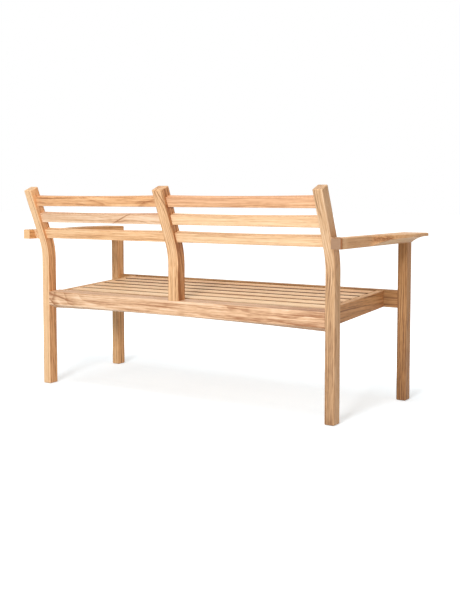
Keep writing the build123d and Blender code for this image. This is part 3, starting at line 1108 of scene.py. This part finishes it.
@dataclass
class Hardware:
    """The screws under the seat and the glides under the feet.

    Attributes:
        head: Diameter of a screw's head.
        head_height: Height of the head.
        crown: How far the head's rim is rounded.
        crown_turn: Share of the crown at which its slope changes.
        recess: Length of the cross recess.
        recess_arm: Width of its arms.
        recess_depth: Its depth.
        recess_taper: Size of its floor, as a share of its mouth.
        shank: Diameter of the shank.
        tip_share: Share of a plain screw's reach past which a corner is of its tip.
        glide: Diameter of a glide.
        nail: Diameter of the nail's hole in it.
        nail_slope: How far the hole's wall slopes, as a share of the nail.
        nail_sink: How deep the hole is, as a share of the glide's height.
        rim: How far the glide's rim is rounded, as a share of its height.
        rim_steps: Faces round the rim.
        sides: Sides of a round.
        merge: Distance within which loose corners are joined.
        crease: Angle from which an edge stays sharp.
    """

    head: float = 0.008
    head_height: float = 0.003
    crown: float = 0.0011
    crown_turn: float = 0.3
    recess: float = 0.0044
    recess_arm: float = 0.0011
    recess_depth: float = 0.0019
    recess_taper: float = 0.45
    shank: float = 0.004
    tip_share: float = 0.9
    glide: float = 0.022
    nail: float = 0.007
    nail_slope: float = 0.125
    nail_sink: float = 0.5
    rim: float = 0.6
    rim_steps: int = 4
    sides: int = 28
    merge: float = 0.00001
    crease: float = math.radians(40)

    def build(self) -> None:
        """Makes the screws and the glides in place of their plain nodes."""
        steel = Stainless().material()
        for node in ("slat_screws", "cleat_screws"):
            self._replace(node, self._screw, steel)
        self._replace("foot_glides", self._glide, Nylon().material())

    def _replace(
        self,
        node: str,
        shape: Callable[[list[Vector]], tuple[bmesh.types.BMesh, Matrix]],
        finish: bpy.types.Material,
    ) -> None:
        """Puts a detailed piece where each solid of a node is.

        Args:
            node: The node.
            shape: Method that makes one piece, and its place, from a solid's corners.
            finish: The pieces' material.
        """
        made = bmesh.new()
        for corners in self._solids(node):
            single, place = shape(corners)
            bmesh.ops.recalc_face_normals(single, faces=single.faces)
            bmesh.ops.transform(single, matrix=place, verts=single.verts)
            passing = bpy.data.meshes.new("passing")
            single.to_mesh(passing)
            single.free()
            made.from_mesh(passing)
            bpy.data.meshes.remove(passing)
        for face in made.faces:
            face.smooth = True
        mesh = bpy.data.meshes.new(f"{node}_made")
        made.to_mesh(mesh)
        made.free()
        mesh.set_sharp_from_angle(angle=self.crease)
        mesh.materials.append(finish)
        piece = bpy.data.objects.new(f"{node}_made", mesh)
        bpy.context.scene.collection.objects.link(piece)
        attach(piece, "root")
        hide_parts(node)
        LOG.info("hardware: %s", piece.name)

    def _solids(self, node: str) -> list[list[Vector]]:
        """Corners of each separate solid of a node.

        Args:
            node: The node.

        Returns:
            One list of corners for each solid.
        """
        copy = bmesh.new()
        copy.from_mesh(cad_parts[node].data)
        bmesh.ops.remove_doubles(copy, verts=copy.verts, dist=self.merge)
        solids, done = [], set()
        for first in copy.verts:
            if first in done:
                continue
            done.add(first)
            found = [first]
            for corner in found:
                near = [edge.other_vert(corner) for edge in corner.link_edges]
                fresh = [other for other in near if other not in done]
                done.update(fresh)
                found += fresh
            solids.append([corner.co.copy() for corner in found])
        copy.free()
        return solids

    def _screw(self, corners: list[Vector]) -> tuple[bmesh.types.BMesh, Matrix]:
        """Makes a pan-head screw with a cross recess, in place of a plain one.

        Args:
            corners: Corners of the plain screw.

        Returns:
            The screw, head up at its origin, and its place.
        """
        place, length = self._screw_place(corners)
        made = bmesh.new()
        brim = self.head / 2 - self.crown
        bmesh.ops.create_circle(made, segments=self.sides, radius=brim)
        rim = list(made.edges)
        self._sink_recess(made, rim)
        turn = self.crown_turn * self.crown
        profile = (
            (self.head / 2 - turn, turn),
            (self.head / 2, self.crown),
            (self.head / 2, self.head_height),
            (self.shank / 2, self.head_height),
            (self.shank / 2, length),
        )
        edges, radius, depth = rim, brim, 0.0
        for next_radius, next_depth in profile:
            edges = self._drawn(made, edges, next_radius / radius, depth - next_depth)
            radius, depth = next_radius, next_depth
        bmesh.ops.contextual_create(made, geom=edges)
        return made, place

    def _screw_place(self, corners: list[Vector]) -> tuple[Matrix, float]:
        """Finds where a plain screw is, and its length.

        Args:
            corners: Corners of the plain screw.

        Returns:
            The place of its head's top, with the head up, and the screw's length.
        """
        middle = sum(corners, Vector()) / len(corners)
        reach = max((corner - middle).length for corner in corners)
        tip = [corner for corner in corners if (corner - middle).length > self.tip_share * reach]
        way = (sum(tip, Vector()) / len(tip) - middle).normalized()
        top = middle + way * min((corner - middle).dot(way) for corner in corners)
        length = max((corner - top).dot(way) for corner in corners)
        turn = (-way).to_track_quat("Z", "Y").to_matrix().to_4x4()
        return Matrix.Translation(top) @ turn, length

    def _sink_recess(self, made: bmesh.types.BMesh, rim: list[bmesh.types.BMEdge]) -> None:
        """Fills the flat of a screw's head with a cross recess.

        Args:
            made: The screw's mesh.
            rim: The loop round the flat.
        """
        half, arm = self.recess / 2, self.recess_arm / 2
        quarter = [Vector((half, -arm, 0)), Vector((half, arm, 0)), Vector((arm, arm, 0))]
        cross = []
        for number in range(4):
            turn = Matrix.Rotation(number * math.pi / 2, 3, "Z")
            cross += [made.verts.new(turn @ point) for point in quarter]
        mouth = [made.edges.new((cross[i - 1], cross[i])) for i in range(len(cross))]
        bmesh.ops.bridge_loops(made, edges=rim + mouth)
        sunk = self._drawn(made, mouth, self.recess_taper, -self.recess_depth)
        bmesh.ops.contextual_create(made, geom=sunk)

    @staticmethod
    def _drawn(
        made: bmesh.types.BMesh, edges: list[bmesh.types.BMEdge], scale: float, rise: float
    ) -> list[bmesh.types.BMEdge]:
        """Extrudes a loop about Z to a new size and height.

        Args:
            made: The mesh.
            edges: The loop.
            scale: Size of the new loop, as a share of the old.
            rise: How far the new loop is above the old.

        Returns:
            The new loop.
        """
        grown = bmesh.ops.extrude_edge_only(made, edges=edges)["geom"]
        loop = [part for part in grown if isinstance(part, bmesh.types.BMVert)]
        bmesh.ops.scale(made, verts=loop, vec=(scale, scale, 1))
        bmesh.ops.translate(made, verts=loop, vec=(0, 0, rise))
        return [part for part in grown if isinstance(part, bmesh.types.BMEdge)]

    def _glide(self, corners: list[Vector]) -> tuple[bmesh.types.BMesh, Matrix]:
        """Makes a moulded glide with a rounded rim and a sunk nail, under a foot.

        Args:
            corners: Corners of the plain glide.

        Returns:
            The glide, upside down on its origin, and its place.
        """
        middle = sum(corners, Vector()) / len(corners)
        top = max(corner.z for corner in corners)
        made = bmesh.new()
        bmesh.ops.create_circle(made, cap_ends=True, segments=self.sides, radius=self.glide / 2)
        grown = bmesh.ops.extrude_face_region(made, geom=list(made.faces))["geom"]
        lower = [part for part in grown if isinstance(part, bmesh.types.BMVert)]
        bmesh.ops.translate(made, verts=lower, vec=(0, 0, top))
        sole = next(part for part in grown if isinstance(part, bmesh.types.BMFace))
        rim = list(sole.edges)
        bmesh.ops.inset_individual(made, faces=[sole], thickness=(self.glide - self.nail) / 2)
        slope, sink = self.nail * self.nail_slope, top * self.nail_sink
        bmesh.ops.inset_individual(made, faces=[sole], thickness=slope, depth=-sink)
        bmesh.ops.bevel(
            made,
            geom=rim,
            offset=top * self.rim,
            affect="EDGES",
            segments=self.rim_steps,
            profile=0.5,
            material=-1,
        )
        place = Matrix.Translation((middle.x, middle.y, top)) @ Matrix.Rotation(math.pi, 4, "X")
        return made, place


@dataclass(frozen=True)
class Lamp:
    """A soft oblong lamp, with its size in metres and its power in watts."""

    name: str
    place: Triple
    size: Pair
    power: float


@dataclass
class Studio:
    """White studio with the camera behind the sofa's right end.

    Attributes:
        picture: Width and height of the image, in pixels.
        focal_pixels: Focal length, in pixels.
        centre_pixel: Pixel that the camera looks at squarely.
        camera: The camera's place.
        pitch: How far it looks down.
        yaw: How far it is turned from looking along -Y.
        sensor: Size of its sensor, in millimetres.
        key: The lamp behind the sofa.
        overhead: The lamp above it.
        aim: What the lamps face.
        fill: Strength of the light from all round.
        fill_tint: Its colour.
        white: Colour of the background.
        floor_size: Length of the floor's sides.
        floor_glow: How far the floor shows as white near the sofa, whatever the light.
        floor_matt: Colour of the floor.
        floor_shape: Shape of the part that keeps a shadow, per metre each way.
        floor_fade: Where in that shape the shadow starts to fade, and where it ends.
    """

    picture: tuple[int, int] = (460, 613)
    focal_pixels: float = 921.7
    centre_pixel: Pair = (232.3, 261.2)
    camera: Vector = field(default_factory=lambda: Vector((-1.9075, 2.7481, 0.7162)))
    pitch: float = 0.070
    yaw: float = 0.579
    sensor: float = 36.0
    key: Lamp = Lamp("key", (-1.0, 3.9, 1.75), (1.0, 0.8), 124.0)
    overhead: Lamp = Lamp("overhead", (0.0, 0.3, 2.6), (2.2, 1.6), 27.0)
    aim: Vector = field(default_factory=lambda: Vector((0.0, 0.0, 0.35)))
    fill: float = 0.36
    fill_tint: Colour = srgb(255, 250, 242)
    white: Colour = srgb(255, 255, 255)
    floor_size: float = 60.0
    floor_glow: float = 0.45
    floor_matt: Colour = srgb(229, 238, 245)
    floor_shape: Pair = (0.75, 1.6)
    floor_fade: Pair = (0.82, 1.3)

    def build(self) -> None:
        """Sets up the camera, the light, the world and the floor."""
        scene = bpy.context.scene
        scene.view_settings.view_transform = "Standard"
        scene.camera = self._camera(scene)
        for lamp in (self.key, self.overhead):
            self._light(scene, lamp)
        self._world(scene)
        self._floor(scene)
        LOG.info("studio: camera, lamps, world and floor")

    def _camera(self, scene: bpy.types.Scene) -> bpy.types.Object:
        """Camera at the photograph's angle.

        Args:
            scene: The scene.

        Returns:
            The camera's object.
        """
        lens = bpy.data.cameras.new("camera")
        width, height = self.picture
        lens.sensor_width = self.sensor
        lens.lens = self.focal_pixels * self.sensor / height
        lens.shift_x = (width / 2 - self.centre_pixel[0]) / height
        lens.shift_y = (self.centre_pixel[1] - height / 2) / height
        camera = bpy.data.objects.new("camera", lens)
        camera.location = self.camera
        camera.rotation_euler = (math.pi / 2 - self.pitch, 0, math.pi + self.yaw)
        scene.collection.objects.link(camera)
        return camera

    def _light(self, scene: bpy.types.Scene, lamp: Lamp) -> None:
        """Soft light that faces the sofa.

        Args:
            scene: The scene.
            lamp: The lamp.
        """
        light = bpy.data.lights.new(lamp.name, "AREA")
        light.shape = "RECTANGLE"
        light.size, light.size_y = lamp.size
        light.energy = lamp.power
        hung = bpy.data.objects.new(lamp.name, light)
        hung.location = lamp.place
        hung.rotation_euler = (self.aim - Vector(lamp.place)).to_track_quat("-Z", "Y").to_euler()
        scene.collection.objects.link(hung)

    def _world(self, scene: bpy.types.Scene) -> None:
        """Even fill light that shows as plain white.

        Args:
            scene: The scene.
        """
        world = bpy.data.worlds.new("studio")
        world.use_nodes = True
        graph = Graph(world.node_tree)
        shown = graph.shown()
        tint = graph.mix(shown, self.fill_tint, self.white)
        strength = self.fill + (1 - self.fill) * shown
        sky = graph.add("ShaderNodeBackground", {}, {"Color": tint, "Strength": strength})
        graph.add("ShaderNodeOutputWorld", {}, {"Surface": sky})
        scene.world = world

    def _floor(self, scene: bpy.types.Scene) -> None:
        """White floor that keeps the sofa's soft shadow.

        Args:
            scene: The scene.
        """
        made = bmesh.new()
        bmesh.ops.create_grid(made, x_segments=1, y_segments=1, size=self.floor_size / 2)
        mesh = bpy.data.meshes.new("floor")
        made.to_mesh(mesh)
        made.free()
        mesh.materials.append(self._floor_finish())
        floor = bpy.data.objects.new("floor", mesh)
        scene.collection.objects.link(floor)

    def _floor_finish(self) -> bpy.types.Material:
        """Matt white that glows more and more away from the sofa.

        Returns:
            The material.
        """
        finish, graph = new_material("floor")
        place = graph.add("ShaderNodeTexCoord", output="Object")
        place = graph.stretched(place, (*self.floor_shape, 0.0))
        away = graph.vector("LENGTH", place, output="Value")
        lift = self.floor_glow + away.rise(*self.floor_fade) * (1 - self.floor_glow)
        matt = graph.add("ShaderNodeBsdfDiffuse", {}, {"Color": self.floor_matt})
        glow = graph.add("ShaderNodeEmission", {}, {"Strength": graph.shown() * lift})
        surface = graph.add("ShaderNodeAddShader", {}, {0: matt, 1: glow})
        graph.add("ShaderNodeOutputMaterial", {}, {"Surface": surface})
        return finish


def main() -> None:
    """Builds and dresses the sofa, piece by piece, and sets up the studio."""
    logging.basicConfig(level=logging.INFO, format="%(name)s %(message)s")
    for timbers in (Back(), Seat(), Arms()):
        timbers.dress()
    Hardware().build()
    Studio().build()


if __name__ == "__main__":
    main()
